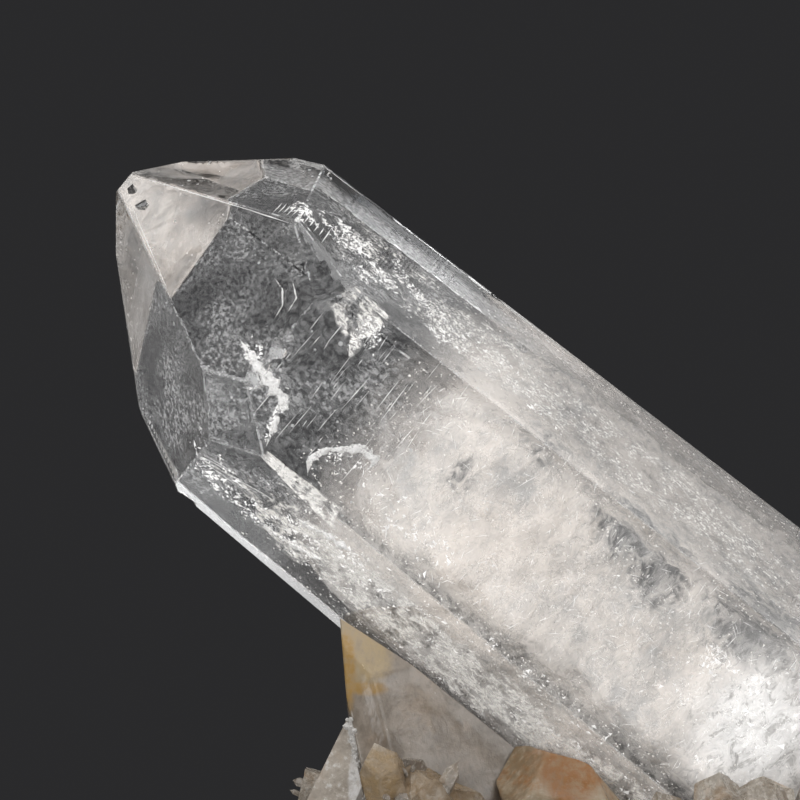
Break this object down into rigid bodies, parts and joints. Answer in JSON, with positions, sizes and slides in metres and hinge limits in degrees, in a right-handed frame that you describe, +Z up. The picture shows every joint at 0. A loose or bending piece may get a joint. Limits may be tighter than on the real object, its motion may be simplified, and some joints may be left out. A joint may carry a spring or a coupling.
{
  "type": "clear quartz cluster",
  "caption": "Cluster of clear quartz crystals: one large leaning point grown out of a flat-bottomed base of small, partly iron-stained points.",
  "frame": {"origin": "middle of the flat underside of the base, on the surface that the cluster stands on", "axes": "+Z up, -X the way that the large point's tip reaches, -Y the front, with the large point's broad face"},
  "size_m": [0.1055, 0.0676, 0.0881],
  "materials": {
    "clear_quartz": "water-clear towards the tip and milky towards the root, with veils, bright fractures and fine growth lines",
    "grey_quartz": "cloudy grey, half see-through, satin faces with a yellow stain at the tips",
    "frosted_quartz": "frosted, pale grey, rough with bright broken edges",
    "stained_quartz": "iron-stained orange brown in bands over cloudy quartz, satin",
    "milky_quartz": "milky to grey-brown, rough and broken, with ochre iron stain in the hollows"
  },
  "bodies": {
    "root": {"main_crystal": "clear_quartz", "grey_crystal": "grey_quartz", "frosted_crystal": "frosted_quartz", "orange_crystal": "stained_quartz", "right_crystal": "grey_quartz", "end_crystal": "grey_quartz", "upper_rear_crystal": "grey_quartz", "rear_crystal": "grey_quartz", "left_rear_crystal": "frosted_quartz", "base": "milky_quartz"}
  },
  "joints": []
}
